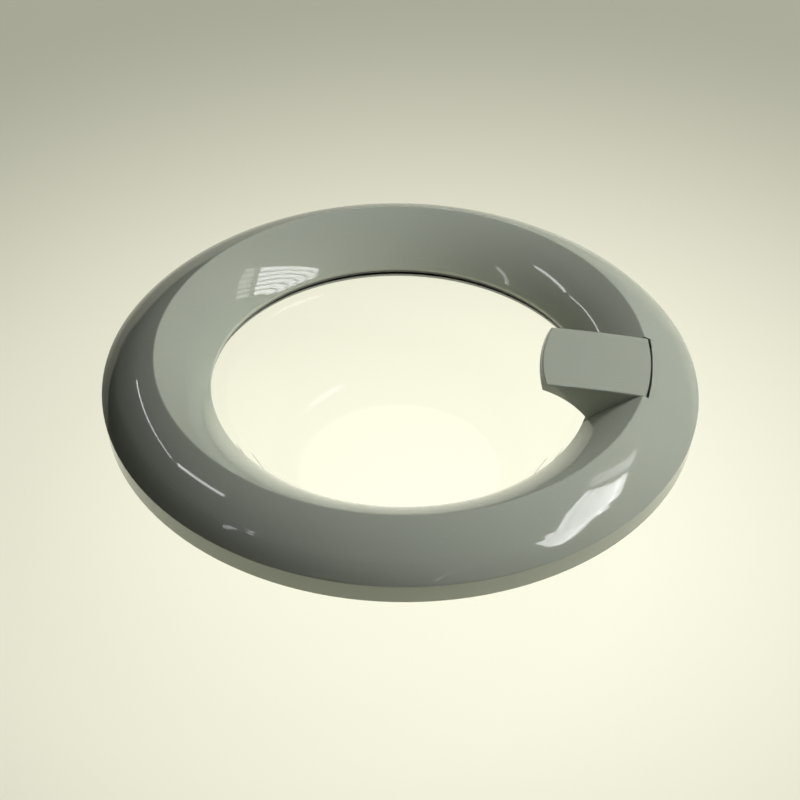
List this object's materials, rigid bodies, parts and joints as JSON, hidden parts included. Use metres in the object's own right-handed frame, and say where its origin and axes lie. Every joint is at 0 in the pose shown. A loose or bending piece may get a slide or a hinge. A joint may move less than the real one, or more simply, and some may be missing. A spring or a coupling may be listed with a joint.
{
  "type": "washing machine door",
  "caption": "Round front-loader washing machine door: grey moulded ring, clear glass bowl, pull handle over the glass that swings a latch hook, and a screw-on hinge.",
  "frame": {"origin": "centre of the flat of the glass bowl, on which the door lies face up", "axes": "+Z along the door's axis, out of its front; +X from that axis to the handle; the hinge is at -X"},
  "size_m": [0.469, 0.469, 0.1326],
  "materials": {
    "ring_plastic": "glossy silver-grey moulded plastic",
    "rear_plastic": "satin grey moulded plastic",
    "bowl_glass": "clear pressed glass",
    "seal_rubber": "matt black rubber",
    "zinc_steel": "zinc-plated steel",
    "spring_steel": "drawn spring wire",
    "bush_plastic": "natural bearing plastic"
  },
  "bodies": {
    "door": {"outer_ring": "ring_plastic", "rear_ring": "rear_plastic", "glass_bowl": "bowl_glass", "glass_seal": "seal_rubber", "frame_screws": "zinc_steel", "handle_pin": "zinc_steel", "handle_pin_clips": "spring_steel", "handle_spring": "spring_steel", "hook_pin": "zinc_steel", "hook_pin_clips": "spring_steel", "hook_spring": "spring_steel", "hinge_leaf": "zinc_steel", "hinge_screws": "zinc_steel", "hinge_pin": "zinc_steel", "hinge_pin_clip": "spring_steel"},
    "handle": {"handle_lever": "ring_plastic"},
    "hook": {"latch_hook": "zinc_steel"},
    "bracket": {"hinge_bracket": "zinc_steel", "hinge_bush_upper": "bush_plastic", "hinge_bush_lower": "bush_plastic"}
  },
  "joints": [
    {"name": "handle_pull", "type": "hinge", "parent": "door", "child": "handle", "pos_m": [0.184, 0, 0.1175], "axis": [0, 1, 0], "range_deg": [0, 22], "stiffness_Nm_per_rad": 1.2, "springref_deg": -14.32, "deforming": ["handle_spring"]},
    {"name": "hook_turn", "type": "hinge", "parent": "door", "child": "hook", "pos_m": [0.196, 0, 0.095], "axis": [0, 1, 0], "range_deg": [-22, 0], "stiffness_Nm_per_rad": 0.3, "springref_deg": 14.32, "deforming": ["hook_spring"]},
    {"name": "door_swing", "type": "hinge", "parent": "door", "child": "bracket", "pos_m": [-0.219, 0, 0.0825], "axis": [0, 1, 0], "range_deg": [0, 145]}
  ],
  "couplings": [
    {"joint": "hook_turn", "follows": "handle_pull", "ratio": -1}
  ]
}
